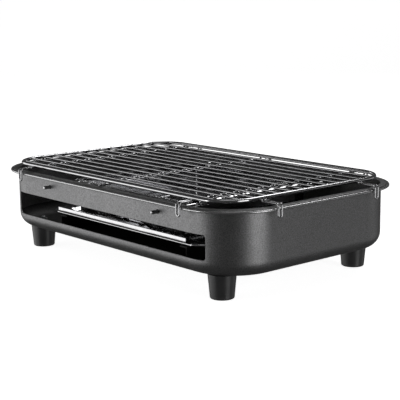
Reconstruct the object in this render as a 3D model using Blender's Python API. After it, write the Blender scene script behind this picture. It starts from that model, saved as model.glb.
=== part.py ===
"""Tabletop hibachi charcoal grill, built as an assembly of separate pieces.

Units are metres and +Z is up. The origin is on the surface the grill stands on, midway between the feet.
X runs along the long side of the grill. The ash tray is pulled out through the front wall, towards -Y.
"""
import math

import bmesh
import bpy
from mathutils import Matrix, Vector

MM = 0.001
GAP = 0.3 * MM                      # clearance kept between pieces that touch

# Body: a drawn steel shell with a flat flange and a rolled bead round its top
BODY_LENGTH = 336 * MM
BODY_WIDTH = 208 * MM
CORNER_RADIUS = 47.5 * MM
BASE_Z = 21.5 * MM                  # underside of the shell, on top of the feet
RIM_Z = 78.2 * MM                   # flat top of the flange
SHEET = 1.2 * MM
BASE_FILLET = 13 * MM
FLANGE_FLAT = 4.2 * MM              # flat part of the flange, measured out from the wall
BEAD_RADIUS = 1.15 * MM
BEAD_OFFSET = 6.25 * MM             # bead centre, measured out from the wall
BEAD_DROP = 1.7 * MM                # bead centre below the flange's flat top
CORNER_STEPS = 10

# Slot in the front wall, for air and for the ash tray
SLOT_HALF_LENGTH = 136.5 * MM
SLOT_BOTTOM_Z = 35.3 * MM
SLOT_TOP_Z = 56.2 * MM
SLOT_CORNER = 2.5 * MM

# Tapered feet, each held by a screw from below, with a washer and a nut inside the shell
FOOT_X = 131.8 * MM
FOOT_Y = 79.3 * MM
FOOT_TOP_RADIUS = 12.0 * MM
FOOT_BOTTOM_RADIUS = 10.3 * MM
FOOT_EDGE = 1.6 * MM
COUNTERBORE_RADIUS = 4.6 * MM
COUNTERBORE_DEPTH = 12 * MM
SCREW_RADIUS = 2.0 * MM
SCREW_HEAD_RADIUS = 3.8 * MM
SCREW_HEAD_HEIGHT = 2.5 * MM
WASHER_RADIUS = 5.0 * MM
WASHER_THICKNESS = 0.8 * MM
NUT_RADIUS = 4.04 * MM              # across corners
NUT_HEIGHT = 3.2 * MM

# Cross rods that carry the charcoal box; their ends stand out of the long walls
ROD_X = 80 * MM
ROD_Z = 67.6 * MM
ROD_RADIUS = 1.6 * MM
ROD_STICK_OUT = 7 * MM
CLIP_RADIUS = 5.0 * MM
CLIP_THICKNESS = 0.6 * MM

# Charcoal box and its hanger strips
BOX_SHEET = 0.8 * MM
BOX_HALF_LENGTH = 76.7 * MM
BOX_HALF_WIDTH = 74 * MM
BOX_BOTTOM_Z = 41 * MM
BOX_TOP_Z = 72 * MM
BOX_CORNER = 3 * MM
BOX_FLANGE = 5 * MM                 # turned out along the two long edges
BOX_END_FLANGE = 1.5 * MM           # turned out along the two short edges
AIR_SLOT_COLUMNS = 9
AIR_SLOT_PITCH = 16 * MM
AIR_SLOT_WIDTH = 5 * MM
AIR_SLOT_LENGTH = 50 * MM
AIR_SLOT_ROW_Y = 34 * MM
HANGER_HALF_LENGTH = 60 * MM
HANGER_BOTTOM_Z = 55 * MM
HANGER_INNER_RADIUS = 2.2 * MM

# Ash tray, its pull and the rails it slides on
TRAY_SHEET = 0.8 * MM
TRAY_HALF_LENGTH = 112 * MM
TRAY_HALF_WIDTH = 86 * MM
TRAY_CORNER = 18 * MM
TRAY_TOP_Z = 40.2 * MM
TRAY_FLOOR_Z = 36.8 * MM            # underside of the tray's floor
TRAY_FLANGE = 14 * MM
TRAY_SLOPE = 3 * MM
TRAY_LIP = 1.6 * MM
TRAY_FRONT_HALF = 94 * MM           # upturned strip along the straight part of the front edge
TRAY_FRONT_TOP_Z = 44.5 * MM
PULL_BASE_HALF = 33 * MM
PULL_TOP_HALF = 18 * MM
PULL_HEIGHT = 7 * MM
PULL_FOOT = 7 * MM
PULL_BACK = 10.4 * MM               # rear of the upright, behind the tray's front edge
PULL_SLOT = (9 * MM, 3.2 * MM)
RAIL_X = 92 * MM
RAIL_FLANGE = 8 * MM
RAIL_SHEET = 1.0 * MM
RAIL_HALF_LENGTH = 84 * MM

# Cooking grate: a frame wire, long wires on cross wires, and hairpin hooks outside the flange
FRAME_HALF_LENGTH = 156 * MM
FRAME_HALF_WIDTH = 98 * MM
FRAME_CORNER = 30 * MM
FRAME_Z = 83.3 * MM
FRAME_RADIUS = 1.7 * MM
WIRE_COUNT = 14
WIRE_PITCH = 14 * MM
WIRE_RADIUS = 1.15 * MM
CROSS_RADIUS = 1.0 * MM
CROSS_Z = 81.5 * MM
CROSS_X = 117 * MM
CROSS_REST_Y = 105.5 * MM           # the middle cross wire's ends rest on the flange
HOOK_RADIUS = 0.85 * MM
HOOK_Z = 81.2 * MM
HOOK_BOTTOM_Z = 69.6 * MM
HOOK_BEND = 2.2 * MM
HOOK_HALF_GAP = 1.9 * MM            # from the hook's middle to each of its two legs
HOOK_X = CROSS_X                    # hooks on the long sides
HOOK_Y = 57.5 * MM                   # hooks on the short sides

WALL_Y = BODY_WIDTH / 2
FLOOR_Z = BASE_Z + SHEET
FLANGE_REACH = BEAD_OFFSET + BEAD_RADIUS
WIRE_Z = CROSS_Z + CROSS_RADIUS + GAP + WIRE_RADIUS

MATERIALS = {
    # name: (base colour, roughness, metallic)
    "powder_coat": ((0.105, 0.105, 0.108), 0.5, 0.2),
    "foot_plastic": ((0.02, 0.02, 0.021), 0.35, 0.0),
    "chrome_wire": ((0.78, 0.78, 0.79), 0.12, 1.0),
    "bright_steel": ((0.72, 0.72, 0.73), 0.10, 1.0),
    "zinc_fastener": ((0.55, 0.56, 0.57), 0.35, 1.0),
    "black_steel": ((0.03, 0.03, 0.03), 0.5, 0.3),
}


def clear_scene():
    for old in list(bpy.data.objects):
        bpy.data.objects.remove(old, do_unlink=True)


def material(name):
    found = bpy.data.materials.get(name)
    if found:
        return found
    colour, roughness, metallic = MATERIALS[name]
    made = bpy.data.materials.new(name)
    made.use_nodes = True
    shader = made.node_tree.nodes["Principled BSDF"]
    shader.inputs["Base Color"].default_value = (*colour, 1.0)
    shader.inputs["Roughness"].default_value = roughness
    shader.inputs["Metallic"].default_value = metallic
    return made


def empty(name, location, parent=None):
    made = bpy.data.objects.new(name, None)
    bpy.context.scene.collection.objects.link(made)
    made.location = location
    made.parent = parent
    return made


def place(name, data, parent, material_name, location=(0, 0, 0)):
    data.materials.append(material(material_name))
    made = bpy.data.objects.new(name, data)
    bpy.context.scene.collection.objects.link(made)
    made.parent = parent
    made.location = location
    return made


def mesh_from(bm, name, smooth=True):
    bmesh.ops.recalc_face_normals(bm, faces=bm.faces)
    mesh = bpy.data.meshes.new(name)
    bm.to_mesh(mesh)
    bm.free()
    if smooth:
        mesh.shade_smooth()
        mesh.set_sharp_from_angle(angle=math.radians(35))
    return mesh


def arc(centre, radius, start, end, steps):
    """Points on an arc in a plane, angles in degrees, both ends included."""
    angles = [math.radians(start + (end - start) * k / steps) for k in range(steps + 1)]
    return [(centre[0] + radius * math.cos(a), centre[1] + radius * math.sin(a)) for a in angles]


def rounded_rectangle(half_length, half_width, radius, steps=CORNER_STEPS):
    """Outline of a rounded rectangle centred on the origin, anticlockwise."""
    points = []
    for quarter, (sx, sy) in enumerate(((1, 1), (-1, 1), (-1, -1), (1, -1))):
        centre = (sx * (half_length - radius), sy * (half_width - radius))
        points += arc(centre, radius, 90 * quarter, 90 * quarter + 90, steps)
    return points


def loft(rings, closed=False):
    """Skin through rings of equal length. The ends are capped unless the rings close on themselves."""
    bm = bmesh.new()
    loops = [[bm.verts.new(point) for point in ring] for ring in rings]
    count = len(loops[0])
    pairs = list(zip(loops, loops[1:]))
    if closed:
        pairs.append((loops[-1], loops[0]))
    for lower, upper in pairs:
        for k in range(count):
            nxt = (k + 1) % count
            bm.faces.new((lower[k], lower[nxt], upper[nxt], upper[k]))
    if not closed:
        bm.faces.new(list(reversed(loops[0])))
        bm.faces.new(loops[-1])
    return bm


def turned(profile, sides):
    """Solid of revolution about Z. The profile is a closed outline of (radius, z) points."""
    bm = bmesh.new()
    on_axis = [abs(radius) < 1e-9 for radius, _ in profile]
    shared = [bm.verts.new((0, 0, z)) if axis else None for (_, z), axis in zip(profile, on_axis)]
    columns = []
    for k in range(sides):
        angle = 2 * math.pi * k / sides
        column = [shared[i] or bm.verts.new((radius * math.cos(angle), radius * math.sin(angle), z))
                  for i, (radius, z) in enumerate(profile)]
        columns.append(column)
    for k in range(sides):
        here, there = columns[k], columns[(k + 1) % sides]
        for i in range(len(profile)):
            nxt = (i + 1) % len(profile)
            corners = [here[i], there[i], there[nxt], here[nxt]]
            face = [v for n, v in enumerate(corners) if v not in corners[:n]]
            if len(face) > 2:
                bm.faces.new(face)
    return bm


def extruded(outline, half_length, to_point):
    """Prism: the outline's (a, b) points are placed by to_point(a, b, t) at t = -half_length and +half_length."""
    return loft([[to_point(a, b, t) for a, b in outline] for t in (-half_length, half_length)])


def wire(name, points, radius, parent, closed=False, sides_step=2):
    """A round wire along a list of points, with filled ends unless it is closed."""
    curve = bpy.data.curves.new(name, "CURVE")
    curve.dimensions = "3D"
    curve.bevel_depth = radius
    curve.bevel_resolution = sides_step
    curve.use_fill_caps = True
    spline = curve.splines.new("POLY")
    spline.points.add(len(points) - 1)
    for target, point in zip(spline.points, points):
        target.co = (*point, 1.0)
    spline.use_cyclic_u = closed
    spline.use_smooth = True
    return place(name, curve, parent, "chrome_wire")


def cut(target, cutter_bm, name, operation="DIFFERENCE"):
    """Subtract a closed shape from the target, or add it with "UNION", and keep it as a hidden guide."""
    cutter = bpy.data.objects.new(name, mesh_from(cutter_bm, name, smooth=False))
    bpy.context.scene.collection.objects.link(cutter)
    cutter.parent = target.parent
    cutter.location = target.location
    cutter.hide_render = True
    cutter.display_type = "WIRE"
    modifier = target.modifiers.new(name, "BOOLEAN")
    modifier.operation = operation
    modifier.solver = "EXACT"
    modifier.object = cutter
    return cutter


def join_into(bm, other):
    """Add the other bmesh's geometry to bm and free the other."""
    mesh = bpy.data.meshes.new("joined")
    other.to_mesh(mesh)
    other.free()
    bm.from_mesh(mesh)
    bpy.data.meshes.remove(mesh)


def body_ring(offset, z):
    """One level of the shell: the wall's outline moved out by offset."""
    outline = rounded_rectangle(BODY_LENGTH / 2 + offset, WALL_Y + offset, CORNER_RADIUS + offset)
    return [(x, y, z) for x, y in outline]


def body_profile():
    """(offset, z) of the shell's section: up the outside, round the bead, and down the inside."""
    fillet_z = BASE_Z + BASE_FILLET
    outside = arc((-BASE_FILLET, fillet_z), BASE_FILLET, -90, 0, 6)
    under = RIM_Z - SHEET
    neck = [(0, under - 0.8 * MM), (0.8 * MM, under), (FLANGE_FLAT, under)]
    bead = arc((BEAD_OFFSET, RIM_Z - BEAD_DROP), BEAD_RADIUS, 165, 440, 9)
    top = [(BEAD_OFFSET - 0.8 * MM, RIM_Z - 0.8 * MM), (FLANGE_FLAT + 0.3 * MM, RIM_Z - 0.2 * MM),
           (FLANGE_FLAT - 0.2 * MM, RIM_Z), (-SHEET + 0.5 * MM, RIM_Z), (-SHEET, RIM_Z - 0.5 * MM)]
    inside = arc((-BASE_FILLET, fillet_z), BASE_FILLET - SHEET, 0, -90, 5)
    return outside + neck + bead + top + inside


def make_body(parent):
    bm = loft([body_ring(offset, z) for offset, z in body_profile()])
    shell = place("body_shell", mesh_from(bm, "body_shell"), parent, "powder_coat")

    slot_outline = [(x, z) for x, z in rounded_rectangle(
        SLOT_HALF_LENGTH, (SLOT_TOP_Z - SLOT_BOTTOM_Z) / 2, SLOT_CORNER, steps=3)]
    slot_z = (SLOT_TOP_Z + SLOT_BOTTOM_Z) / 2
    slot_depth = 20 * MM
    slot = extruded(slot_outline, slot_depth, lambda x, z, t: (x, t - WALL_Y, slot_z + z))
    cut(shell, slot, "slot_cutter")

    holes = bmesh.new()
    reach = WALL_Y + 20 * MM
    hole = arc((0, 0), ROD_RADIUS + GAP + 0.1 * MM, 0, 330, 11)
    for side in (-1, 1):
        join_into(holes, extruded(hole, reach, lambda a, b, t: (side * ROD_X + a, t, ROD_Z + b)))
    screw_hole = arc((0, 0), SCREW_RADIUS + GAP + 0.1 * MM, 0, 330, 11)
    for x in (-FOOT_X, FOOT_X):
        for y in (-FOOT_Y, FOOT_Y):
            join_into(holes, extruded(screw_hole, 4 * MM, lambda a, b, t: (x + a, y + b, BASE_Z + t)))
    cut(shell, holes, "hole_cutter")


def foot_mesh():
    top = BASE_Z - GAP
    bore = SCREW_RADIUS + GAP
    edge = arc((FOOT_BOTTOM_RADIUS - FOOT_EDGE, FOOT_EDGE), FOOT_EDGE, -90, 0, 4)
    profile = [(COUNTERBORE_RADIUS, 0)] + edge
    profile += [(FOOT_TOP_RADIUS, top - 0.6 * MM), (FOOT_TOP_RADIUS - 0.6 * MM, top), (bore, top),
                (bore, COUNTERBORE_DEPTH), (COUNTERBORE_RADIUS, COUNTERBORE_DEPTH)]
    return mesh_from(turned(profile, 24), "foot")


def screw_mesh():
    """Pan-head screw, its origin where the head's bearing face meets the axis."""
    nut_top = FLOOR_Z + 2 * GAP + WASHER_THICKNESS + GAP + NUT_HEIGHT
    shank_end = nut_top + 1.5 * MM - (COUNTERBORE_DEPTH - GAP)
    head = [(0, -SCREW_HEAD_HEIGHT), (SCREW_HEAD_RADIUS - 1.2 * MM, -SCREW_HEAD_HEIGHT),
            (SCREW_HEAD_RADIUS, -SCREW_HEAD_HEIGHT + 1.1 * MM), (SCREW_HEAD_RADIUS, 0)]
    shank = [(SCREW_RADIUS, 0), (SCREW_RADIUS, shank_end - 0.5 * MM), (SCREW_RADIUS - 0.5 * MM, shank_end),
             (0, shank_end)]
    bm = turned(head + shank, 12)
    mesh = mesh_from(bm, "foot_screw")
    return mesh


def washer_mesh(name, outer, inner, thickness, sides):
    return mesh_from(turned([(inner, 0), (outer, 0), (outer, thickness), (inner, thickness)], sides), name)


def nut_mesh():
    """Hexagon nut with a plain bore."""
    inner = SCREW_RADIUS + GAP
    bm = bmesh.new()
    rings = []
    for radius, z in ((inner, 0), (NUT_RADIUS, 0), (NUT_RADIUS, NUT_HEIGHT), (inner, NUT_HEIGHT)):
        corners = []
        for k in range(12):
            angle = math.pi * k / 6
            flat = radius
            if radius == NUT_RADIUS and k % 2:
                flat = NUT_RADIUS * math.cos(math.pi / 6)
            corners.append(bm.verts.new((flat * math.cos(angle), flat * math.sin(angle), z)))
        rings.append(corners)
    for lower, upper in zip(rings, rings[1:] + rings[:1]):
        for k in range(12):
            nxt = (k + 1) % 12
            bm.faces.new((lower[k], lower[nxt], upper[nxt], upper[k]))
    return mesh_from(bm, "foot_nut")


def make_feet(parent):
    foot, screw, nut = foot_mesh(), screw_mesh(), nut_mesh()
    washer = washer_mesh("foot_washer", WASHER_RADIUS, SCREW_RADIUS + GAP, WASHER_THICKNESS, 16)
    washer_z = FLOOR_Z + GAP
    nut_z = washer_z + WASHER_THICKNESS + GAP
    for y_name, y in (("front", -FOOT_Y), ("rear", FOOT_Y)):
        for x_name, x in (("left", -FOOT_X), ("right", FOOT_X)):
            where = f"{y_name}_{x_name}"
            place(f"foot_{where}", foot.copy(), parent, "foot_plastic", (x, y, 0))
            place(f"foot_screw_{where}", screw.copy(), parent, "zinc_fastener", (x, y, COUNTERBORE_DEPTH - GAP))
            place(f"foot_washer_{where}", washer.copy(), parent, "zinc_fastener", (x, y, washer_z))
            place(f"foot_nut_{where}", nut.copy(), parent, "zinc_fastener", (x, y, nut_z))


def make_rods(parent):
    """Two cross rods with domed ends, and a push-on clip on each end just inside the wall."""
    half = WALL_Y + ROD_STICK_OUT
    dome = arc((0, half - ROD_RADIUS), ROD_RADIUS, 0, 90, 3)
    profile = [(0, -half)] + [(r, -z) for r, z in reversed(dome[:-1])] + dome[:-1] + [(0, half)]
    along_y = Matrix.Rotation(math.radians(90), 4, "X")
    for name, x in (("left", -ROD_X), ("right", ROD_X)):
        rod = turned(profile, 12)
        bmesh.ops.transform(rod, matrix=along_y, verts=rod.verts)
        place(f"cross_rod_{name}", mesh_from(rod, "cross_rod"), parent, "chrome_wire", (x, 0, ROD_Z))
        for end, side in (("front", -1), ("rear", 1)):
            inner, near = ROD_RADIUS + GAP, CLIP_THICKNESS / 2
            clip = turned([(inner, -near), (CLIP_RADIUS, -near), (CLIP_RADIUS, near), (inner, near)], 16)
            bmesh.ops.transform(clip, matrix=along_y, verts=clip.verts)
            y = side * (WALL_Y - SHEET - GAP - near)
            place(f"rod_clip_{end}_{name}", mesh_from(clip, "rod_clip"), parent, "zinc_fastener", (x, y, ROD_Z))


def make_charcoal_box(parent):
    """Open box with out-turned edges and rows of air slots through its floor."""
    def level(half_length, half_width, radius, z):
        return [(x, y, z) for x, y in rounded_rectangle(half_length, half_width, radius, steps=3)]

    inner_x, inner_y = BOX_HALF_LENGTH - BOX_SHEET, BOX_HALF_WIDTH - BOX_SHEET
    flange_x, flange_y = BOX_HALF_LENGTH + BOX_END_FLANGE, BOX_HALF_WIDTH + BOX_FLANGE
    inner_radius = BOX_CORNER - BOX_SHEET
    rings = [
        level(BOX_HALF_LENGTH - 1 * MM, BOX_HALF_WIDTH - 1 * MM, BOX_CORNER - 1 * MM, BOX_BOTTOM_Z),
        level(BOX_HALF_LENGTH, BOX_HALF_WIDTH, BOX_CORNER, BOX_BOTTOM_Z + 1 * MM),
        level(BOX_HALF_LENGTH, BOX_HALF_WIDTH, BOX_CORNER, BOX_TOP_Z - BOX_SHEET),
        level(flange_x, flange_y, BOX_CORNER + 1 * MM, BOX_TOP_Z - BOX_SHEET),
        level(flange_x, flange_y, BOX_CORNER + 1 * MM, BOX_TOP_Z),
        level(inner_x, inner_y, inner_radius, BOX_TOP_Z),
        level(inner_x, inner_y, inner_radius, BOX_BOTTOM_Z + BOX_SHEET),
    ]
    box = place("charcoal_box", mesh_from(loft(rings), "charcoal_box"), parent, "bright_steel")

    slots = bmesh.new()
    outline = rounded_rectangle(AIR_SLOT_WIDTH / 2, AIR_SLOT_LENGTH / 2, AIR_SLOT_WIDTH / 3, steps=2)
    for row in (-1, 1):
        for column in range(AIR_SLOT_COLUMNS):
            x = (column - (AIR_SLOT_COLUMNS - 1) / 2) * AIR_SLOT_PITCH
            y = row * AIR_SLOT_ROW_Y
            join_into(slots, extruded(outline, 3 * MM, lambda a, b, t: (x + a, y + b, BOX_BOTTOM_Z + t)))
    cut(box, slots, "air_slot_cutter")


def hanger_outline():
    """(x, z) section of the right hanger: up the box's end wall and over the rod, open below."""
    wall_x = ROD_X - HANGER_INNER_RADIUS
    centre = (ROD_X, ROD_Z)
    inner = arc(centre, HANGER_INNER_RADIUS, 180, -20, 8)
    outer = arc(centre, HANGER_INNER_RADIUS + BOX_SHEET, -20, 180, 8)
    return [(wall_x, HANGER_BOTTOM_Z)] + inner + outer + [(wall_x - BOX_SHEET, HANGER_BOTTOM_Z)]


def make_hangers(parent):
    for name, side in (("left", -1), ("right", 1)):
        bm = extruded(hanger_outline(), HANGER_HALF_LENGTH, lambda x, z, t: (side * x, t, z))
        place(f"charcoal_box_hanger_{name}", mesh_from(bm, "hanger"), parent, "bright_steel")


def make_ash_tray(parent):
    """Shallow tray: a broad flat flange with a turned-down lip round a sunken floor, and an upturned front."""
    def level(inset, z):
        outline = rounded_rectangle(
            TRAY_HALF_LENGTH - inset, TRAY_HALF_WIDTH - inset, max(TRAY_CORNER - inset, 3 * MM), steps=5)
        return [(x, y, z) for x, y in outline]

    slope_in = TRAY_FLANGE + TRAY_SLOPE
    under = TRAY_TOP_Z - TRAY_SHEET
    rings = [
        level(slope_in, TRAY_FLOOR_Z),
        level(TRAY_FLANGE, under),
        level(TRAY_SHEET, under),
        level(TRAY_SHEET, TRAY_TOP_Z - TRAY_LIP),
        level(0, TRAY_TOP_Z - TRAY_LIP),
        level(0, TRAY_TOP_Z - 0.5 * MM),
        level(0.5 * MM, TRAY_TOP_Z),
        level(TRAY_FLANGE, TRAY_TOP_Z),
        level(slope_in, TRAY_FLOOR_Z + TRAY_SHEET),
    ]
    tray = place("ash_tray", mesh_from(loft(rings), "ash_tray"), parent, "bright_steel")
    front = -TRAY_HALF_WIDTH + 0.1 * MM
    low = TRAY_TOP_Z - 0.6 * MM
    strip = [(front, low), (front + TRAY_SHEET, low), (front + TRAY_SHEET, TRAY_FRONT_TOP_Z), (front, TRAY_FRONT_TOP_Z)]
    cut(tray, extruded(strip, TRAY_FRONT_HALF, lambda a, b, t: (t, a, b)), "ash_tray_front_strip", "UNION")


def make_pull(parent):
    """Bent strip on the tray's front flange: a flat foot and, behind it, a tapering upright with a finger slot."""
    rear = -TRAY_HALF_WIDTH + PULL_BACK
    bottom = TRAY_TOP_Z + GAP
    top = TRAY_TOP_Z + PULL_HEIGHT
    bend = 1.6 * MM
    corner = (rear - bend, bottom + bend)
    outer = arc(corner, bend, 0, -90, 3)
    inner = arc(corner, bend - TRAY_SHEET, -90, 0, 3)
    toe = rear - PULL_FOOT
    section = [(rear, top)] + outer + [(toe, bottom), (toe, bottom + TRAY_SHEET)] + inner
    section += [(rear - TRAY_SHEET, top)]
    bm = extruded(section, PULL_BASE_HALF, lambda y, z, t: (t, y, z))
    pull = place("ash_tray_pull", mesh_from(bm, "ash_tray_pull"), parent, "bright_steel")

    cutters = bmesh.new()
    slot_z = (bottom + bend + top) / 2
    outline = rounded_rectangle(PULL_SLOT[0] / 2, PULL_SLOT[1] / 2, 0.8 * MM, steps=2)
    join_into(cutters, extruded(outline, 3 * MM, lambda a, b, t: (a, rear + t, slot_z + b)))
    past = 1 * MM
    for side in (-1, 1):
        wedge = [(PULL_TOP_HALF, top + past), (PULL_TOP_HALF, top), (PULL_BASE_HALF, bottom + bend),
                 (PULL_BASE_HALF + past, bottom + bend), (PULL_BASE_HALF + past, top + past)]
        join_into(cutters, extruded(wedge, bend, lambda a, b, t: (side * a, rear + t, b)))
    cut(pull, cutters, "pull_cutter")


def make_rails(parent):
    """Two Z-section rails on the shell's floor that carry the tray."""
    low, high = FLOOR_Z + GAP, TRAY_FLOOR_Z - GAP
    section = [(RAIL_X, low), (RAIL_X + RAIL_FLANGE, low), (RAIL_X + RAIL_FLANGE, low + RAIL_SHEET),
               (RAIL_X + RAIL_SHEET, low + RAIL_SHEET), (RAIL_X + RAIL_SHEET, high),
               (RAIL_X - RAIL_FLANGE, high), (RAIL_X - RAIL_FLANGE, high - RAIL_SHEET),
               (RAIL_X, high - RAIL_SHEET)]
    for name, side in (("left", -1), ("right", 1)):
        bm = extruded(section, RAIL_HALF_LENGTH, lambda x, z, t: (side * x, t, z))
        place(f"tray_rail_{name}", mesh_from(bm, "tray_rail", smooth=False), parent, "black_steel")


def long_wire_end(y):
    """How far a long wire reaches along X before it meets the inside of the frame wire."""
    inside = FRAME_CORNER - FRAME_RADIUS - GAP
    corner_x = FRAME_HALF_LENGTH - FRAME_CORNER
    into_corner = abs(y) + WIRE_RADIUS - (FRAME_HALF_WIDTH - FRAME_CORNER)
    if into_corner <= 0:
        return corner_x + inside
    return corner_x + math.sqrt(inside ** 2 - into_corner ** 2)


def make_grate(parent):
    frame = [(x, y, FRAME_Z) for x, y in rounded_rectangle(
        FRAME_HALF_LENGTH, FRAME_HALF_WIDTH, FRAME_CORNER, steps=8)]
    wire("grate_frame", frame, FRAME_RADIUS, parent, closed=True)

    for k in range(WIRE_COUNT):
        y = (k - (WIRE_COUNT - 1) / 2) * WIRE_PITCH
        end = long_wire_end(y)
        wire(f"grate_wire_{k + 1:02d}", [(-end, y, WIRE_Z), (end, y, WIRE_Z)], WIRE_RADIUS, parent)

    inner_y = FRAME_HALF_WIDTH - FRAME_RADIUS - GAP
    for name, x in (("left", -CROSS_X), ("right", CROSS_X)):
        wire(f"grate_cross_wire_{name}", [(x, -inner_y, CROSS_Z), (x, inner_y, CROSS_Z)], CROSS_RADIUS, parent)
    rest_z = RIM_Z + GAP + CROSS_RADIUS
    half = [(0, 88 * MM, CROSS_Z), (0, 90 * MM, CROSS_Z - 0.3 * MM), (0, 93 * MM, rest_z + 0.3 * MM),
            (0, 95 * MM, rest_z), (0, CROSS_REST_Y, rest_z)]
    path = [(x, -y, z) for x, y, z in reversed(half)] + half
    wire("grate_cross_wire_middle", path, CROSS_RADIUS, parent)


def hook_path(start, out):
    """Hairpin along +X: from the frame, over the flange, down to its loop, and back. Centred on y = 0."""
    level = [(start, HOOK_Z)]
    bend = arc((out - HOOK_BEND, HOOK_Z - HOOK_BEND), HOOK_BEND, 90, 0, 4)
    leg = [(x, -HOOK_HALF_GAP, z) for x, z in level + bend]
    loop_z = HOOK_BOTTOM_Z + HOOK_RADIUS + HOOK_HALF_GAP
    loop = [(out, y, z) for y, z in arc((0, loop_z), HOOK_HALF_GAP, 180, 360, 6)]
    return leg + loop + [(x, -y, z) for x, y, z in reversed(leg)]


def make_hooks(parent):
    """Two hooks on each side of the grate, each turned to face out of its side."""
    clearance = FLANGE_REACH + GAP + HOOK_RADIUS
    from_frame = FRAME_RADIUS + GAP
    sides = (
        ("right", 0, BODY_LENGTH / 2, FRAME_HALF_LENGTH, HOOK_Y),
        ("rear", 90, WALL_Y, FRAME_HALF_WIDTH, HOOK_X),
        ("left", 180, BODY_LENGTH / 2, FRAME_HALF_LENGTH, HOOK_Y),
        ("front", 270, WALL_Y, FRAME_HALF_WIDTH, HOOK_X),
    )
    for side_name, angle, wall, frame, along in sides:
        turn = Matrix.Rotation(math.radians(angle), 4, "Z")
        path = hook_path(frame + from_frame, wall + clearance)
        for number, shift in ((1, -along), (2, along)):
            points = [turn @ Vector((x, y + shift, z)) for x, y, z in path]
            wire(f"grate_hook_{side_name}_{number}", points, HOOK_RADIUS, parent)


def main():
    clear_scene()
    body = empty("body", (0, 0, 0))
    box = empty("charcoal_box_lift", (0, 0, 0), body)
    tray = empty("ash_tray_slide", (0, 0, 0), body)
    grate = empty("grate_lift", (0, 0, 0), body)
    make_body(body)
    make_feet(body)
    make_rods(body)
    make_rails(body)
    make_charcoal_box(box)
    make_hangers(box)
    make_ash_tray(tray)
    make_pull(tray)
    make_grate(grate)
    make_hooks(grate)


main()
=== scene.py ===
"""Looks of the hibachi grill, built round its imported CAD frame.

Metres, +Z up, the same frame as the CAD: X along the long side, -Y the front with the tray slot.
"""

import math

import bmesh
import bpy
from mathutils import Matrix, Vector, noise


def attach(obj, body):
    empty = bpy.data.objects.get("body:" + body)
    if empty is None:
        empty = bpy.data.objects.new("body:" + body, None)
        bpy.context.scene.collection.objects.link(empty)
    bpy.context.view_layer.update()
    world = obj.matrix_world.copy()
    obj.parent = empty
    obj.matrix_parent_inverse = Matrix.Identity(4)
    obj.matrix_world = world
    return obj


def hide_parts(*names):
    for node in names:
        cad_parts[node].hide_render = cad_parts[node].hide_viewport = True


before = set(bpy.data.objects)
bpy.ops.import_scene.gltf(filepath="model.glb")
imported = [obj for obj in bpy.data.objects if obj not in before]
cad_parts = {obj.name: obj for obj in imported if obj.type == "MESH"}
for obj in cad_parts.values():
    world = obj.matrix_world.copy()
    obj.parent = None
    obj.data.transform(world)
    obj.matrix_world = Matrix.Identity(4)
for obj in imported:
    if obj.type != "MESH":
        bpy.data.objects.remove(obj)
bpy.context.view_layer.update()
MM = 0.001

# ---------------------------------------------------------------- dimensions shared with the CAD
BODY_HALF = (168 * MM, 104 * MM)
CORNER = 47.5 * MM
BASE_Z, RIM_Z, SHEET = 21.5 * MM, 78.2 * MM, 1.2 * MM
FILLET = 13 * MM
BEAD_OFFSET, BEAD_RADIUS, BEAD_DROP = 6.25 * MM, 1.15 * MM, 1.7 * MM
SLOT = (136.5 * MM, 35.3 * MM, 56.2 * MM, 2.5 * MM)     # half length, low, high, corner
FOOT_AT = (131.8 * MM, 79.3 * MM)
ROD_AT = (80 * MM, 67.6 * MM)
ROD_RADIUS = 1.6 * MM
BOX_HALF = (76.7 * MM, 74 * MM)
BOX_Z = (41 * MM, 72 * MM)
BOX_SHEET = 0.8 * MM
TRAY_HALF = (112 * MM, 86 * MM)
TRAY_Z = (36.8 * MM, 40.2 * MM)
TRAY_FRONT = (94 * MM, 44.5 * MM)                       # half length and top of the upturned front strip
FRAME_HALF = (156 * MM, 98 * MM)
FRAME_CORNER, FRAME_Z, FRAME_RADIUS = 30 * MM, 83.3 * MM, 1.7 * MM
WIRE_RADIUS = 1.02 * MM                                 # thinner than the CAD's 1.15 mm
WIRE_Z, WIRE_PITCH, WIRE_COUNT = 83.95 * MM, 14 * MM, 14
CROSS_RADIUS, CROSS_Z, CROSS_X = 1.0 * MM, 81.5 * MM, 117 * MM
HOOK_Y = 57.5 * MM
HOOK_RADIUS, HOOK_Z, HOOK_LOW, HOOK_GAP, HOOK_BEND = 0.85 * MM, 81.2 * MM, 69.6 * MM, 1.9 * MM, 2.2 * MM


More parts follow.
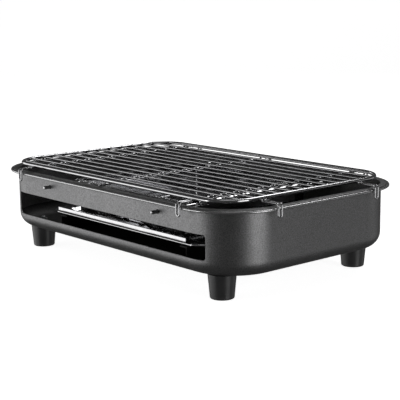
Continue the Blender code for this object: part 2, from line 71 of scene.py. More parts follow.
# ---------------------------------------------------------------- materials
class Look:
    """A Principled material with helpers that add procedural detail in object coordinates."""

    def __init__(self, name, colour, roughness, metallic=0.0, specular=0.5):
        self.material = bpy.data.materials.new(name)
        self.material.use_nodes = True
        self.nodes = self.material.node_tree.nodes
        self.links = self.material.node_tree.links
        self.shader = self.nodes["Principled BSDF"]
        self.shader.inputs["Base Color"].default_value = (*colour, 1)
        self.shader.inputs["Roughness"].default_value = roughness
        self.shader.inputs["Metallic"].default_value = metallic
        self.shader.inputs["Specular IOR Level"].default_value = specular
        self.coords = self.nodes.new("ShaderNodeTexCoord").outputs["Object"]
        self.last_bump = None

    def noise(self, scale, detail=2.0, rough=0.5, stretch=None, distortion=0.0):
        node = self.nodes.new("ShaderNodeTexNoise")
        node.inputs["Scale"].default_value = scale
        node.inputs["Detail"].default_value = detail
        node.inputs["Roughness"].default_value = rough
        node.inputs["Distortion"].default_value = distortion
        source = self.coords
        if stretch:
            mapping = self.nodes.new("ShaderNodeMapping")
            mapping.inputs["Scale"].default_value = stretch
            self.links.new(source, mapping.inputs["Vector"])
            source = mapping.outputs["Vector"]
        self.links.new(source, node.inputs["Vector"])
        return node.outputs["Fac"]

    def remap(self, value, low, high, to_low, to_high):
        node = self.nodes.new("ShaderNodeMapRange")
        node.inputs["From Min"].default_value = low
        node.inputs["From Max"].default_value = high
        node.inputs["To Min"].default_value = to_low
        node.inputs["To Max"].default_value = to_high
        self.links.new(value, node.inputs["Value"])
        return node.outputs["Result"]

    def math(self, operation, a, b):
        node = self.nodes.new("ShaderNodeMath")
        node.operation = operation
        for socket, value in zip(node.inputs, (a, b)):
            if isinstance(value, (int, float)):
                socket.default_value = value
            else:
                self.links.new(value, socket)
        return node.outputs["Value"]

    def mix(self, factor, a, b):
        node = self.nodes.new("ShaderNodeMix")
        node.data_type = "RGBA"
        self.links.new(factor, node.inputs["Factor"])
        for socket, value in ((node.inputs[6], a), (node.inputs[7], b)):
            if isinstance(value, tuple):
                socket.default_value = (*value, 1)
            else:
                self.links.new(value, socket)
        return node.outputs[2]

    def facing_up(self):
        """1 where the surface faces up, 0 where it is upright or faces down."""
        geometry = self.nodes.new("ShaderNodeNewGeometry")
        split = self.nodes.new("ShaderNodeSeparateXYZ")
        self.links.new(geometry.outputs["Normal"], split.inputs["Vector"])
        return self.remap(split.outputs["Z"], 0.3, 0.95, 0.0, 1.0)

    def height(self):
        split = self.nodes.new("ShaderNodeSeparateXYZ")
        self.links.new(self.coords, split.inputs["Vector"])
        return split.outputs["Z"]

    def bump(self, value, strength, distance):
        node = self.nodes.new("ShaderNodeBump")
        node.inputs["Strength"].default_value = strength
        node.inputs["Distance"].default_value = distance
        self.links.new(value, node.inputs["Height"])
        if self.last_bump:
            self.links.new(self.last_bump, node.inputs["Normal"])
        self.last_bump = node.outputs["Normal"]
        self.links.new(self.last_bump, self.shader.inputs["Normal"])

    def colour(self, value):
        self.links.new(value, self.shader.inputs["Base Color"])

    def roughness(self, value):
        self.links.new(value, self.shader.inputs["Roughness"])


def grey(value):
    return (value, value, value * 1.01)


def powder_coat(name, shade, rough_low, rough_high):
    """Dark satin coat. Shade scales its brightness."""
    look = Look(name, grey(0.20 * shade), 0.40, 0.88, 0.5)
    grain = look.noise(1150, 3, 0.62)
    peel = look.noise(420, 2, 0.5)
    patches = look.noise(16, 4, 0.6)
    fine_colour = look.mix(look.remap(grain, 0.32, 0.68, 0, 1), grey(0.12 * shade), grey(0.31 * shade))
    broad = look.mix(look.remap(patches, 0.3, 0.7, 0, 0.35), fine_colour, grey(0.20 * shade))
    dust = look.math("MULTIPLY", look.facing_up(), look.remap(look.noise(60, 5, 0.7), 0.45, 0.8, 0, 0.10))
    look.colour(look.mix(dust, broad, grey(min(0.41 * shade, 0.8))))
    rough = look.remap(look.noise(38, 4, 0.6), 0.25, 0.75, rough_low, rough_high)
    streaks = look.noise(90, 3, 0.5, stretch=(1.0, 1.0, 7.0), distortion=0.6)
    scuffs = look.remap(streaks, 0.66, 0.74, 0.0, 0.10)
    look.roughness(look.math("ADD", rough, scuffs))
    look.bump(peel, 0.30, 0.00010)
    look.bump(grain, 0.42, 0.00007)
    return look.material


def chrome_wire():
    look = Look("chromed_wire", (0.80, 0.80, 0.81), 0.10, 1.0)
    tone = look.noise(45, 3, 0.6)
    pits = look.remap(look.noise(950, 2, 0.5), 0.60, 0.72, 0.0, 1.0)
    base = look.mix(look.remap(tone, 0.3, 0.7, 0, 1), (0.50, 0.50, 0.51), (0.72, 0.72, 0.73))
    look.colour(look.mix(look.math("MULTIPLY", pits, 0.5), base, (0.30, 0.30, 0.31)))
    look.roughness(look.remap(look.noise(160, 4, 0.65), 0.3, 0.7, 0.07, 0.20))
    look.bump(look.noise(210, 2, 0.5), 0.25, 0.00010)
    look.bump(look.noise(1400, 2, 0.5), 0.12, 0.00003)
    return look.material


def mirror_steel(name="mirror_steel", wave=0.35):
    """Bright rolled sheet. Wave is how strongly its surface ripples."""
    look = Look(name, (0.80, 0.80, 0.81), 0.06, 1.0)
    haze = look.noise(70, 5, 0.7)
    look.colour(look.mix(look.remap(haze, 0.3, 0.75, 0, 1), (0.78, 0.78, 0.79), (0.62, 0.62, 0.63)))
    lines = look.noise(1, 2, 0.5, stretch=(30.0, 2600.0, 2600.0))
    rough = look.remap(haze, 0.3, 0.8, 0.035, 0.11)
    look.roughness(look.math("ADD", rough, look.remap(lines, 0.6, 0.8, 0.0, 0.08)))
    look.bump(look.noise(26, 1, 0.4), wave, 0.0012)
    look.bump(lines, 0.05, 0.00003)
    return look.material


def painted_shade_and_highlight_steel():
    """Thin steel painted dark as shade, with painted highlights along the creases where it has bent."""
    look = Look("box_steel_painted_shade_and_highlights", grey(0.05), 0.3, 1.0)
    field = look.noise(34, 3, 0.55, stretch=(1.0, 1.0, 2.2), distortion=1.4)
    # the bright crease lines are painted highlights
    crease_painted_highlight = look.remap(look.math("ABSOLUTE", look.math("SUBTRACT", field, 0.5), 0.0), 0.0, 0.012, 0.55, 0.0)
    tone = look.mix(look.remap(look.noise(80, 4, 0.6), 0.3, 0.7, 0, 1), grey(0.03), grey(0.10))
    # dark base colour is painted shade; the lighter crease colour is a painted highlight
    look.colour(look.mix(crease_painted_highlight, tone, grey(0.45)))
    look.roughness(look.remap(look.noise(120, 4, 0.6), 0.3, 0.7, 0.16, 0.34))
    look.bump(field, 0.5, 0.0016)
    return look.material


def weld_metal():
    look = Look("weld_beads", (0.62, 0.62, 0.63), 0.22, 1.0)
    tone = look.noise(420, 3, 0.6)
    look.colour(look.mix(look.remap(tone, 0.35, 0.65, 0, 1), (0.62, 0.62, 0.63), (0.95, 0.95, 0.96)))
    look.roughness(look.remap(tone, 0.3, 0.7, 0.14, 0.30))
    look.bump(look.noise(800, 2, 0.5), 0.4, 0.00010)
    return look.material


def foot_plastic():
    look = Look("foot_plastic", (0.045, 0.045, 0.046), 0.36, 0.0, 0.5)
    mould = look.noise(1200, 2, 0.5)
    tone = look.noise(50, 4, 0.6)
    rub = look.remap(look.height(), 0.0, 0.0035, 0.55, 0.0)
    base = look.mix(look.remap(tone, 0.3, 0.7, 0, 1), (0.034, 0.034, 0.035), (0.056, 0.056, 0.057))
    look.colour(look.mix(rub, base, (0.075, 0.075, 0.076)))
    look.roughness(look.remap(look.noise(90, 4, 0.6), 0.3, 0.7, 0.28, 0.42))
    look.bump(mould, 0.25, 0.00005)
    return look.material


def zinc():
    look = Look("zinc_plate", (0.56, 0.57, 0.58), 0.32, 1.0)
    tone = look.noise(260, 4, 0.7)
    look.colour(look.mix(look.remap(tone, 0.3, 0.7, 0, 1), (0.42, 0.43, 0.45), (0.66, 0.67, 0.68)))
    look.roughness(look.remap(tone, 0.3, 0.7, 0.24, 0.45))
    look.bump(look.noise(900, 2, 0.5), 0.2, 0.00004)
    return look.material


def rail_steel():
    look = Look("rail_black_steel", (0.03, 0.03, 0.03), 0.5, 0.0, 0.5)
    tone = look.noise(110, 4, 0.6)
    look.colour(look.mix(look.remap(tone, 0.3, 0.7, 0, 1), (0.022, 0.022, 0.022), (0.05, 0.05, 0.05)))
    look.roughness(look.remap(tone, 0.3, 0.7, 0.40, 0.62))
    look.bump(look.noise(1300, 2, 0.5), 0.3, 0.00006)
    return look.material


LOOKS = {
    "coat": powder_coat("body_powder_coat", 1.0, 0.37, 0.46),
    # darker copy of the coat for the inside of the body: painted shade in the hollow
    "coat_inside_painted_shade": powder_coat("inside_coat_painted_shade", 0.28, 0.50, 0.62),
    # lighter copy of the coat for the rolled bead: a painted highlight, with a smoother finish
    "coat_bead_painted_highlight": powder_coat("bead_coat_painted_highlight", 2.4, 0.20, 0.30),
    "box_outside_painted_shade_and_highlights": painted_shade_and_highlight_steel(),
    "wire": chrome_wire(),
    "steel": mirror_steel(),
    "tray": mirror_steel("tray_steel", 0.22),
    "weld": weld_metal(),
    "foot": foot_plastic(),
    "zinc": zinc(),
    "rail": rail_steel(),
}


# ---------------------------------------------------------------- shape helpers
def arc(centre, radius, start, end, steps):
    """Points on an arc in a plane, angles in degrees, both ends included."""
    angles = [math.radians(start + (end - start) * k / steps) for k in range(steps + 1)]
    return [(centre[0] + radius * math.cos(a), centre[1] + radius * math.sin(a)) for a in angles]


def rounded_rectangle(half_x, half_y, radius, steps=16, straight=1):
    """Anticlockwise outline. Each straight side is split into the given number of pieces."""
    points = []
    for quarter, (sx, sy) in enumerate(((1, 1), (-1, 1), (-1, -1), (1, -1))):
        centre = (sx * (half_x - radius), sy * (half_y - radius))
        corner = arc(centre, radius, 90 * quarter, 90 * quarter + 90, steps)
        if points and straight > 1:
            points += between(points[-1], corner[0], straight)
        points += corner
    if straight > 1:
        points += between(points[-1], points[0], straight)
    return points


def between(a, b, pieces):
    return [tuple(a[i] + (b[i] - a[i]) * k / pieces for i in (0, 1)) for k in range(1, pieces)]


def loft(rings, closed=False):
    bm = bmesh.new()
    loops = [[bm.verts.new(point) for point in ring] for ring in rings]
    count = len(loops[0])
    pairs = list(zip(loops, loops[1:]))
    if closed:
        pairs.append((loops[-1], loops[0]))
    for lower, upper in pairs:
        for k in range(count):
            nxt = (k + 1) % count
            bm.faces.new((lower[k], lower[nxt], upper[nxt], upper[k]))
    if not closed:
        bm.faces.new(list(reversed(loops[0])))
        bm.faces.new(loops[-1])
    return bm


def turned(profile, sides):
    """Solid of revolution about Z from a closed (radius, z) outline."""
    bm = bmesh.new()
    axis = {i: bm.verts.new((0, 0, z)) for i, (radius, z) in enumerate(profile) if radius < 1e-9}
    columns = []
    for k in range(sides):
        angle = 2 * math.pi * k / sides
        columns.append([axis.get(i) or bm.verts.new((r * math.cos(angle), r * math.sin(angle), z))
                        for i, (r, z) in enumerate(profile)])
    for k in range(sides):
        here, there = columns[k], columns[(k + 1) % sides]
        for i in range(len(profile)):
            nxt = (i + 1) % len(profile)
            corners = [here[i], there[i], there[nxt], here[nxt]]
            face = [v for n, v in enumerate(corners) if v not in corners[:n]]
            if len(face) > 2:
                bm.faces.new(face)
    return bm


def tube(points, radius, sides=14, closed=False, dome=True):
    """A round wire along points, with rounded ends unless it is closed."""
    points = [Vector(p) for p in points]
    count = len(points)
    tangents = []
    for k in range(count):
        before = points[k - 1] if closed or k else points[0]
        after = points[(k + 1) % count] if closed or k < count - 1 else points[-1]
        tangents.append((after - before).normalized())
    side = tangents[0].orthogonal().normalized()
    stations = []
    for k in range(count):
        side = (side - tangents[k] * side.dot(tangents[k])).normalized()
        stations.append((points[k], tangents[k], side.copy(), radius))
    if not closed and dome:
        ends = []
        for share in (0.30, 0.62, 0.86):
            ends.append((radius * share * 0.7, radius * math.sqrt(1 - share * share)))
        first, last = stations[0], stations[-1]
        stations[0] = (first[0] + first[1] * radius * 0.7, *first[1:])
        stations[-1] = (last[0] - last[1] * radius * 0.7, *last[1:])
        head = [(stations[0][0] - first[1] * d, first[1], first[2], r) for d, r in reversed(ends)]
        tail = [(stations[-1][0] + last[1] * d, last[1], last[2], r) for d, r in ends]
        stations = head + stations + tail
    rings = []
    for centre, tangent, across, r in stations:
        other = tangent.cross(across)
        ring = []
        for n in range(sides):
            angle = 2 * math.pi * n / sides
            ring.append(centre + across * (r * math.cos(angle)) + other * (r * math.sin(angle)))
        rings.append(ring)
    return loft(rings, closed=closed)


def add_to(bm, other):
    mesh = bpy.data.meshes.new("part")
    other.to_mesh(mesh)
    other.free()
    bm.from_mesh(mesh)
    bpy.data.meshes.remove(mesh)


def piece(name, bm, look, body, node=None, smooth=35, more_looks=()):
    """Make the mesh an object that rides on a body and, if it has a node, stands in for it."""
    bmesh.ops.recalc_face_normals(bm, faces=bm.faces)
    mesh = bpy.data.meshes.new(name)
    bm.to_mesh(mesh)
    bm.free()
    mesh.shade_smooth()
    mesh.set_sharp_from_angle(angle=math.radians(smooth))
    for each in (look, *more_looks):
        mesh.materials.append(LOOKS[each])
    made = bpy.data.objects.new(name, mesh)
    bpy.context.scene.collection.objects.link(made)
    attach(made, body)
    if node:
        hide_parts(node)
    if look in ("coat", "steel", "tray", "foot"):
        flat_normals(made)
    return made


def paint_rings(bm, per_ring, numbers):
    """Give each band of a loft, then its first and last cap, a material number."""
    faces = list(bm.faces)
    for k, face in enumerate(faces[:-2]):
        face.material_index = numbers[k // per_ring]
    faces[-2].material_index, faces[-1].material_index = numbers[-2:]


def subtract(target, cutters, operation="DIFFERENCE"):
    """Cut closed shapes out of the target, or add them with "UNION", and bake the result into its mesh."""
    made = []
    for number, bm in enumerate(cutters):
        bmesh.ops.recalc_face_normals(bm, faces=bm.faces)
        mesh = bpy.data.meshes.new(f"cutter_{number}")
        bm.to_mesh(mesh)
        bm.free()
        cutter = bpy.data.objects.new(mesh.name, mesh)
        bpy.context.scene.collection.objects.link(cutter)
        modifier = target.modifiers.new(mesh.name, "BOOLEAN")
        modifier.solver = "EXACT"
        modifier.operation = operation
        modifier.object = cutter
        made.append(cutter)
    bake(target)
    for cutter in made:
        bpy.data.objects.remove(cutter, do_unlink=True)


def bake(target):
    graph = bpy.context.evaluated_depsgraph_get()
    done = bpy.data.meshes.new_from_object(target.evaluated_get(graph))
    target.modifiers.clear()
    target.data = done


def bevel(target, width, segments, angle):
    """Round the sharp edges, then keep the large faces flat."""
    modifier = target.modifiers.new("bevel", "BEVEL")
    modifier.width = width
    modifier.segments = segments
    modifier.limit_method = "ANGLE"
    modifier.angle_limit = math.radians(angle)
    bake(target)
    target.data.shade_smooth()
    target.data.set_sharp_from_angle(angle=math.radians(50))
    flat_normals(target)


def flat_normals(target):
    """Let large faces set the shading, so that narrow fillets beside them don't tilt it."""
    modifier = target.modifiers.new("normals", "WEIGHTED_NORMAL")
    modifier.mode = "FACE_AREA"
    modifier.weight = 100
    modifier.keep_sharp = True
    bake(target)


def prism(outline, low, high, to_point):
    return loft([[to_point(a, b, t) for a, b in outline] for t in (low, high)])


# ---------------------------------------------------------------- body
def body_section():
    """The sheet's section as (offset, z, material number): outside, rolled bead, flat top, inside."""
    centre_z = BASE_Z + FILLET
    outside = arc((-FILLET, centre_z), FILLET, -90, 0, 12)
    under = RIM_Z - SHEET
    neck = arc((0.9 * MM, under - 0.9 * MM), 0.9 * MM, 180, 90, 4)
    reach = [(4.1 * MM, under)]
    # material 2, the bead, takes the lighter coat: a painted highlight
    bead = arc((BEAD_OFFSET, RIM_Z - BEAD_DROP), BEAD_RADIUS, 165, 455, 22)
    groove = [(5.65 * MM, RIM_Z - 0.85 * MM), (5.3 * MM, RIM_Z - 1.05 * MM), (4.95 * MM, RIM_Z - 0.95 * MM),
              (4.6 * MM, RIM_Z - 0.4 * MM)]
    crown = [(4.3 * MM, RIM_Z - 0.1 * MM), (3.8 * MM, RIM_Z), (2.9 * MM, RIM_Z - 0.02 * MM),
             (1.2 * MM, RIM_Z), (0.4 * MM, RIM_Z + 0.12 * MM), (-0.2 * MM, RIM_Z + 0.14 * MM)]
    lip = arc((-0.3 * MM, RIM_Z - 0.76 * MM), 0.9 * MM, 90, 180, 4)
    # material 1, the inside, takes the darker coat: painted shade
    inside = arc((-FILLET, centre_z), FILLET - SHEET, 0, -90, 10)
    parts = ((outside + neck + reach, 0), (bead, 2), (groove + crown + lip, 0), (inside, 1))
    return [(offset, z, number) for points, number in parts for offset, z in points]


def build_body():
    rings, numbers = [], []
    for offset, z, number in body_section():
        numbers.append(number)
        outline = rounded_rectangle(BODY_HALF[0] + offset, BODY_HALF[1] + offset, CORNER + offset, 22, 8)
        rings.append([(x, y, z) for x, y in outline])
    bm = loft(rings)
    paint_rings(bm, len(rings[0]), numbers[:-1] + [0, 1])
    shell = piece("body_shell_fine", bm, "coat", "body", "body_shell",
                  more_looks=("coat_inside_painted_shade", "coat_bead_painted_highlight"))

    half, low, high, corner = SLOT
    outline = rounded_rectangle(half, (high - low) / 2, corner, 8)
    middle = (high + low) / 2
    cutters = []
    cutters.append(prism(outline, -124 * MM, -84 * MM, lambda x, z, t: (x, t, middle + z)))
    for near, far in ((-124 * MM, -84 * MM), (84 * MM, 124 * MM)):
        for side in (-1, 1):
            hole = arc((0, 0), ROD_RADIUS + 0.35 * MM, 0, 337.5, 15)
            cutters.append(prism(hole, near, far, lambda a, b, t: (side * ROD_AT[0] + a, t, ROD_AT[1] + b)))
    subtract(shell, cutters)
    bevel(shell, 0.22 * MM, 2, 55)


def build_feet():
    for y_name, y in (("front", -FOOT_AT[1]), ("rear", FOOT_AT[1])):
        for x_name, x in (("left", -FOOT_AT[0]), ("right", FOOT_AT[0])):
            top = BASE_Z - 0.3 * MM
            edge = arc((8.9 * MM, 1.4 * MM), 1.4 * MM, -90, 5, 8)
            shoulder = arc((11.2 * MM, top - 0.8 * MM), 0.8 * MM, 0, 90, 5)
            profile = [(4.6 * MM, 0.5 * MM), (5.1 * MM, 0)] + edge + shoulder
            profile += [(2.3 * MM, top), (2.3 * MM, 12 * MM), (4.6 * MM, 12 * MM)]
            foot = turned(profile, 56)
            bmesh.ops.translate(foot, vec=(x, y, 0), verts=foot.verts)
            piece(f"foot_{y_name}_{x_name}_fine", foot, "foot", "body", f"foot_{y_name}_{x_name}", 40)


def build_rods():
    for name, x in (("left", -ROD_AT[0]), ("right", ROD_AT[0])):
        reach = BODY_HALF[1] + 7 * MM
        points = [(x, -reach + 2 * reach * k / 12, ROD_AT[1]) for k in range(13)]
        node = f"cross_rod_{name}"
        piece(f"{node}_fine", tube(points, ROD_RADIUS, 20), "wire", "body", node)


# ---------------------------------------------------------------- charcoal box and tray
def build_box():
    half_x, half_y = BOX_HALF
    low, high = BOX_Z

    def level(dx, dy, radius, z):
        return [(x, y, z) for x, y in rounded_rectangle(half_x + dx, half_y + dy, radius, 5, 14)]

    t = BOX_SHEET
    rings = [
        level(-2.2 * MM, -2.2 * MM, 2.0 * MM, low),
        level(-1.2 * MM, -1.2 * MM, 2.4 * MM, low + 0.25 * MM),
        level(-0.5 * MM, -0.5 * MM, 2.7 * MM, low + 0.8 * MM),
        level(-0.1 * MM, -0.1 * MM, 2.9 * MM, low + 1.6 * MM),
        level(0, 0, 3 * MM, low + 2.4 * MM),
        level(0, 0, 3 * MM, low + 10 * MM),
        level(0, 0, 3 * MM, high - 10 * MM),
        level(0, 0, 3 * MM, high - 2.4 * MM),
        level(0.15 * MM, 0.3 * MM, 3 * MM, high - 1.3 * MM),
        level(0.5 * MM, 1.0 * MM, 3.2 * MM, high - t),
        level(1.4 * MM, 4.6 * MM, 3.6 * MM, high - t),
        level(1.5 * MM, 5.0 * MM, 4 * MM, high - t / 2),
        level(1.4 * MM, 4.7 * MM, 4 * MM, high),
        level(0.2 * MM, 0.6 * MM, 3.2 * MM, high),
        level(-0.5 * MM, -0.4 * MM, 2.6 * MM, high - 0.35 * MM),
        level(-t, -t, 2.2 * MM, high - 1.4 * MM),
        level(-t, -t, 2.2 * MM, high - 10 * MM),
        level(-t, -t, 2.2 * MM, low + 10 * MM),
        level(-t, -t, 2.2 * MM, low + t + 1.2 * MM),
        level(-t - 0.4 * MM, -t - 0.4 * MM, 1.9 * MM, low + t + 0.35 * MM),
        level(-t - 1.2 * MM, -t - 1.2 * MM, 1.4 * MM, low + t),
    ]
    bm = loft(rings)
    # the outside bands take the darkened steel: painted shade, with painted crease highlights
    paint_rings(bm, len(rings[0]), [1] * 9 + [0] * (len(rings) - 10) + [1, 0])
    box = piece("charcoal_box_fine", bm, "steel", "charcoal_box", "charcoal_box",
                more_looks=("box_outside_painted_shade_and_highlights",))
    outline = rounded_rectangle(2.5 * MM, 25 * MM, 2.3 * MM, 6)
    cutters = []
    for row in (-1, 1):
        for column in range(9):
            x, y = (column - 4) * 16 * MM, row * 34 * MM
            cutters.append(prism(outline, low - 1 * MM, low + 3 * MM, lambda a, b, t: (x + a, y + b, t)))
    joined = bmesh.new()
    for cutter in cutters:
        add_to(joined, cutter)
    subtract(box, [joined])


def build_hangers():
    for name, side in (("left", -1), ("right", 1)):
        centre = (ROD_AT[0], ROD_AT[1])
        inner = arc(centre, 2.2 * MM, 180, -20, 16)
        outer = arc(centre, 3.0 * MM, -20, 180, 16)
        wall = centre[0] - 2.2 * MM
        outline = [(wall, 55 * MM)] + inner + outer + [(wall - 0.8 * MM, 55 * MM)]
        bm = prism(outline, -60 * MM, 60 * MM, lambda x, z, t: (side * x, t, z))
        strip = piece(f"hanger_{name}_fine", bm, "steel", "charcoal_box", f"charcoal_box_hanger_{name}")
        bevel(strip, 0.15 * MM, 2, 60)


def build_tray():
    def level(inset, z):
        corner = max(18 * MM - inset, 4 * MM)
        outline = rounded_rectangle(TRAY_HALF[0] - inset, TRAY_HALF[1] - inset, corner, 12, 10)
        return [(x, y, z) for x, y in outline]

    low, high = TRAY_Z
    under = high - 0.8 * MM
    rings = [
        level(17.6 * MM, low),
        level(17.0 * MM, low + 0.1 * MM),
        level(14.3 * MM, under - 0.15 * MM),
        level(13.6 * MM, under),
        level(1.3 * MM, under),
        level(0.85 * MM, under - 0.2 * MM),
        level(0.8 * MM, high - 1.55 * MM),
        level(0.4 * MM, high - 1.6 * MM),
        level(0.05 * MM, high - 1.5 * MM),
        level(0, high - 0.8 * MM),
        level(0.1 * MM, high - 0.4 * MM),
        level(0.4 * MM, high - 0.1 * MM),
        level(0.9 * MM, high),
        level(13.5 * MM, high),
        level(14.2 * MM, high - 0.12 * MM),
        level(16.9 * MM, low + 0.95 * MM),
        level(17.6 * MM, low + 0.8 * MM),
    ]
    tray = piece("ash_tray_fine", loft(rings), "tray", "ash_tray", "ash_tray")
    middle, edge = -TRAY_HALF[1] + 0.5 * MM, 0.39 * MM
    strip = [(middle - edge, high - 0.6 * MM), (middle + edge, high - 0.6 * MM)]
    strip += arc((middle, TRAY_FRONT[1] - 0.4 * MM), edge, 0, 180, 10)
    subtract(tray, [prism(strip, -TRAY_FRONT[0], TRAY_FRONT[0], lambda y, z, t: (t, y, z))], "UNION")
    bevel(tray, 0.12 * MM, 2, 60)


def build_pull():
    rear, bottom, top = -TRAY_HALF[1] + 10.4 * MM, TRAY_Z[1] + 0.3 * MM, TRAY_Z[1] + 7 * MM
    bend, sheet = 1.6 * MM, 0.8 * MM
    outer = arc((rear - bend, bottom + bend), bend, 0, -90, 8)
    inner = arc((rear - bend, bottom + bend), bend - sheet, -90, 0, 8)
    toe = rear - 7 * MM
    section = [(rear, top)] + outer + [(toe, bottom), (toe, bottom + sheet)] + inner + [(rear - sheet, top)]
    bm = prism(section, -33 * MM, 33 * MM, lambda y, z, t: (t, y, z))
    pull = piece("ash_tray_pull_fine", bm, "tray", "ash_tray", "ash_tray_pull")
    middle = (bottom + bend + top) / 2
    slot = rounded_rectangle(4.5 * MM, 1.6 * MM, 0.8 * MM, 5)
    cutters = [prism(slot, rear - 3 * MM, rear + 3 * MM, lambda a, b, t: (a, t, middle + b))]
    for side in (-1, 1):
        past = 1 * MM
        wedge = [(18 * MM, top + past), (18 * MM, top), (33 * MM, bottom + bend),
                 (33 * MM + past, bottom + bend), (33 * MM + past, top + past)]
        cutters.append(prism(wedge, rear - bend, rear + bend, lambda a, b, t: (side * a, t, b)))
    subtract(pull, cutters)
    bevel(pull, 0.16 * MM, 2, 50)


# ---------------------------------------------------------------- grate
def wavy(points, amount, seed):
    """Move points by a smooth small amount, as hand-straightened wire does."""
    out = []
    for p in points:
        v = Vector(p)
        shift = noise.noise_vector(v * 14 + Vector((seed * 7.3, seed * 3.1, seed)))
        out.append((v.x, v.y + shift.y * amount, v.z + shift.z * amount * 0.5))
    return out


def long_wire_end(y):
    inside = FRAME_CORNER - FRAME_RADIUS - 0.3 * MM
    corner_x = FRAME_HALF[0] - FRAME_CORNER
    into = abs(y) + WIRE_RADIUS - (FRAME_HALF[1] - FRAME_CORNER)
    if into <= 0:
        return corner_x + inside
    return corner_x + math.sqrt(inside ** 2 - into ** 2)


def blob(centre, size, seed):
    """A small uneven drop of weld metal."""
    bm = bmesh.new()
    bmesh.ops.create_icosphere(bm, subdivisions=3, radius=1.0)
    for v in bm.verts:
        bump = 1 + 0.16 * noise.noise(v.co * 1.7 + Vector((seed, seed * 2.1, 0)))
        v.co = Vector(centre) + Vector([v.co[i] * bump * size[i] for i in range(3)])
    return bm


def build_grate():
    frame_line = [(x, y, FRAME_Z) for x, y in rounded_rectangle(*FRAME_HALF, FRAME_CORNER, 22, 24)]
    frame_wire = tube(frame_line, FRAME_RADIUS, 20, closed=True)
    piece("grate_frame_fine", frame_wire, "wire", "grate", "grate_frame")

    welds = bmesh.new()
    for k in range(WIRE_COUNT):
        y = (k - (WIRE_COUNT - 1) / 2) * WIRE_PITCH
        end = long_wire_end(y)
        points = [(-end + 2 * end * n / 40, y, WIRE_Z) for n in range(41)]
        name = f"grate_wire_{k + 1:02d}"
        bm = tube(wavy(points, 0.12 * MM, k), WIRE_RADIUS, 14)
        piece(f"{name}_fine", bm, "wire", "grate", name)
        for side in (-1, 1):
            size = (1.25 * MM, 1.35 * MM, 0.95 * MM)
            add_to(welds, blob((side * (end - 0.1 * MM), y, WIRE_Z - 0.1 * MM), size, k + side))
        for x in (-CROSS_X, 0, CROSS_X):
            size = (1.15 * MM, 1.25 * MM, 0.62 * MM)
            add_to(welds, blob((x, y, CROSS_Z + CROSS_RADIUS + 0.1 * MM), size, k * 3 + x * 100))

    inner_y = FRAME_HALF[1] - FRAME_RADIUS - 0.3 * MM
    for name, x in (("left", -CROSS_X), ("right", CROSS_X)):
        points = [(x, -inner_y + 2 * inner_y * n / 30, CROSS_Z) for n in range(31)]
        node = f"grate_cross_wire_{name}"
        piece(f"cross_wire_{name}_fine", tube(points, CROSS_RADIUS, 14), "wire", "grate", node)
        for side in (-1, 1):
            size = (1.3 * MM, 1.5 * MM, 0.9 * MM)
            add_to(welds, blob((x, side * (inner_y + 0.2 * MM), CROSS_Z + 0.35 * MM), size, x * 50 + side))
    rest_z = RIM_Z + 0.3 * MM + CROSS_RADIUS
    half = [(0, y * MM, CROSS_Z) for y in range(0, 89, 8)]
    for n in range(9):
        share = n / 8
        drop = (rest_z - CROSS_Z) * (0.5 - 0.5 * math.cos(math.pi * share))
        half.append((0, (89 + 6 * share) * MM, CROSS_Z + drop))
    half += [(0, 100 * MM, rest_z), (0, 105.5 * MM, rest_z)]
    points = [(x, -y, z) for x, y, z in reversed(half[1:])] + half
    middle = tube(points, CROSS_RADIUS, 14)
    piece("cross_wire_middle_fine", middle, "wire", "grate", "grate_cross_wire_middle")
    for side in (-1, 1):
        add_to(welds, blob((0, side * FRAME_HALF[1], 81.45 * MM), (1.1 * MM, 1.3 * MM, 0.6 * MM), side * 9.5))

    reach = BEAD_OFFSET + BEAD_RADIUS + 0.3 * MM + HOOK_RADIUS
    sides = (
        ("right", 0, BODY_HALF[0], FRAME_HALF[0], HOOK_Y),
        ("rear", 90, BODY_HALF[1], FRAME_HALF[1], CROSS_X),
        ("left", 180, BODY_HALF[0], FRAME_HALF[0], HOOK_Y),
        ("front", 270, BODY_HALF[1], FRAME_HALF[1], CROSS_X),
    )
    for side_name, angle, wall, edge, along in sides:
        turn = Matrix.Rotation(math.radians(angle), 4, "Z")
        start, out = edge + FRAME_RADIUS + 0.3 * MM, wall + reach
        level = [(start + (out - HOOK_BEND - start) * n / 6, HOOK_Z) for n in range(6)]
        bend = arc((out - HOOK_BEND, HOOK_Z - HOOK_BEND), HOOK_BEND, 90, 0, 10)
        loop_z = HOOK_LOW + HOOK_RADIUS + HOOK_GAP
        down = [(out, HOOK_Z - HOOK_BEND - (HOOK_Z - HOOK_BEND - loop_z) * n / 4) for n in range(1, 4)]
        leg = [(x, -HOOK_GAP, z) for x, z in level + bend + down]
        loop = [(out, y, z) for y, z in arc((0, loop_z), HOOK_GAP, 180, 360, 14)]
        path = leg + loop + [(x, -y, z) for x, y, z in reversed(leg)]
        for number, shift in ((1, -along), (2, along)):
            points = [turn @ Vector((x, y + shift, z)) for x, y, z in path]
            name = f"grate_hook_{side_name}_{number}"
            piece(f"{name}_fine", tube(points, HOOK_RADIUS, 14), "wire", "grate", name)
            for leg_side in (-1, 1):
                at = turn @ Vector((start + 0.1 * MM, shift + leg_side * HOOK_GAP, HOOK_Z + 0.55 * MM))
                add_to(welds, blob(at, (1.1 * MM, 1.1 * MM, 0.8 * MM), number + angle + leg_side))
    piece("grate_welds", welds, "weld", "grate", None)


def recolour_cad():
    """Give the CAD nodes that keep their own mesh the detailed materials."""
    by_start = (("foot_screw", "zinc"), ("foot_washer", "zinc"), ("foot_nut", "zinc"), ("rod_clip", "zinc"),
                ("tray_rail", "rail"))
    for name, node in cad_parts.items():
        for start, look in by_start:
            if name.startswith(start):
                node.data.materials.clear()
                node.data.materials.append(LOOKS[look])


build_body()
build_feet()
build_rods()
build_box()
build_hangers()
build_tray()
build_pull()
build_grate()
recolour_cad()


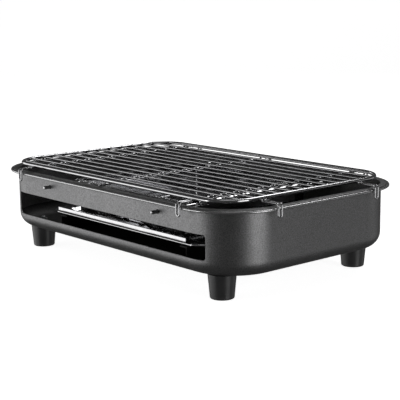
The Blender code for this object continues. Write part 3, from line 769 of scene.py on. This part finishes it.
# ---------------------------------------------------------------- stage, light and camera
def build_stage():
    look = Look("floor_paper", (0.9, 0.9, 0.9), 0.7, 0.0, 0.2)
    look.shader.inputs["Emission Color"].default_value = (1, 1, 1, 1)
    look.shader.inputs["Emission Strength"].default_value = 0.92
    tone = look.noise(5, 3, 0.5)
    look.colour(look.mix(look.remap(tone, 0.3, 0.7, 0, 1), (0.90, 0.90, 0.90), (0.92, 0.92, 0.92)))
    bm = bmesh.new()
    rows = [(-6.0, 0.0), (2.2, 0.0)] + arc((2.2, 1.2), 1.2, -90, 0, 12)[1:] + [(3.4, 5.0)]
    turn = Matrix.Rotation(math.radians(49.3), 4, "Z")
    line = []
    for depth, z in rows:
        line.append([bm.verts.new(turn @ Vector((side * 7.0, depth, z - 0.0002))) for side in (-1, 1)])
    for a, b in zip(line, line[1:]):
        bm.faces.new((a[0], a[1], b[1], b[0]))
    mesh = bpy.data.meshes.new("floor")
    bm.to_mesh(mesh)
    bm.free()
    mesh.shade_smooth()
    mesh.materials.append(look.material)
    floor = bpy.data.objects.new("floor", mesh)
    floor.visible_diffuse = False
    floor.visible_glossy = False
    floor.visible_shadow = False
    bpy.context.scene.collection.objects.link(floor)


def area(name, location, target, size, power):
    light = bpy.data.lights.new(name, "AREA")
    light.shape = "RECTANGLE"
    light.size, light.size_y = size
    light.energy = power
    made = bpy.data.objects.new(name, light)
    made.location = location
    made.rotation_euler = (Vector(target) - Vector(location)).to_track_quat("-Z", "Y").to_euler()
    bpy.context.scene.collection.objects.link(made)
    return made


def build_lights():
    world = bpy.data.worlds.new("studio")
    bpy.context.scene.world = world
    world.use_nodes = True
    background = world.node_tree.nodes["Background"]
    background.inputs["Color"].default_value = (1, 1, 1, 1)
    background.inputs["Strength"].default_value = 0.055
    softbox("key_left", -46, 1.35, (-0.62, 0.62), 2.2, 10.8)
    softbox("strip_front", -8, 1.35, (-0.4, 0.6), 0.12, 0.8)
    softbox("side_right", 94, 1.2, (-0.55, 0.6), 0.62, 3.9)
    softbox("far_right", 152, 1.7, (-0.8, 0.12), 1.2, 1.25)
    softbox("rear_left", 225, 1.7, (-0.8, 0.05), 1.6, 2.6)
    area("top_rear", (-0.15, 0.95, 1.25), (0, 0, 0.05), (0.7, 0.5), 5)
    area("top", (0.1, 0.1, 1.7), (0, 0, 0.05), (0.8, 0.8), 1.6)


def softbox(name, azimuth, distance, heights, width, power):
    """An upright soft light round the object. Azimuth is in degrees from -Y towards +X."""
    angle = math.radians(azimuth)
    x, y = distance * math.sin(angle), -distance * math.cos(angle)
    middle = (heights[0] + heights[1]) / 2
    area(name, (x, y, middle), (0, 0, middle), (width, heights[1] - heights[0]), power)


def build_camera():
    yaw, pitch, roll = math.radians(49.305), math.radians(10.834), math.radians(-0.656)
    forward = Vector((-math.sin(yaw) * math.cos(pitch), math.cos(yaw) * math.cos(pitch), -math.sin(pitch)))
    level_right = Vector((math.cos(yaw), math.sin(yaw), 0))
    level_up = level_right.cross(forward)
    right = level_right * math.cos(roll) + level_up * math.sin(roll)
    up = level_up * math.cos(roll) - level_right * math.sin(roll)
    data = bpy.data.cameras.new("camera")
    data.lens = 100.49
    data.sensor_width = 36
    camera = bpy.data.objects.new("camera", data)
    bpy.context.scene.collection.objects.link(camera)
    turn = Matrix((right, up, -forward)).transposed().to_4x4()
    camera.matrix_world = Matrix.Translation((0.78713, -0.66564, 0.24956)) @ turn
    bpy.context.scene.camera = camera


build_stage()
build_lights()
build_camera()
bpy.context.scene.view_settings.view_transform = "Standard"
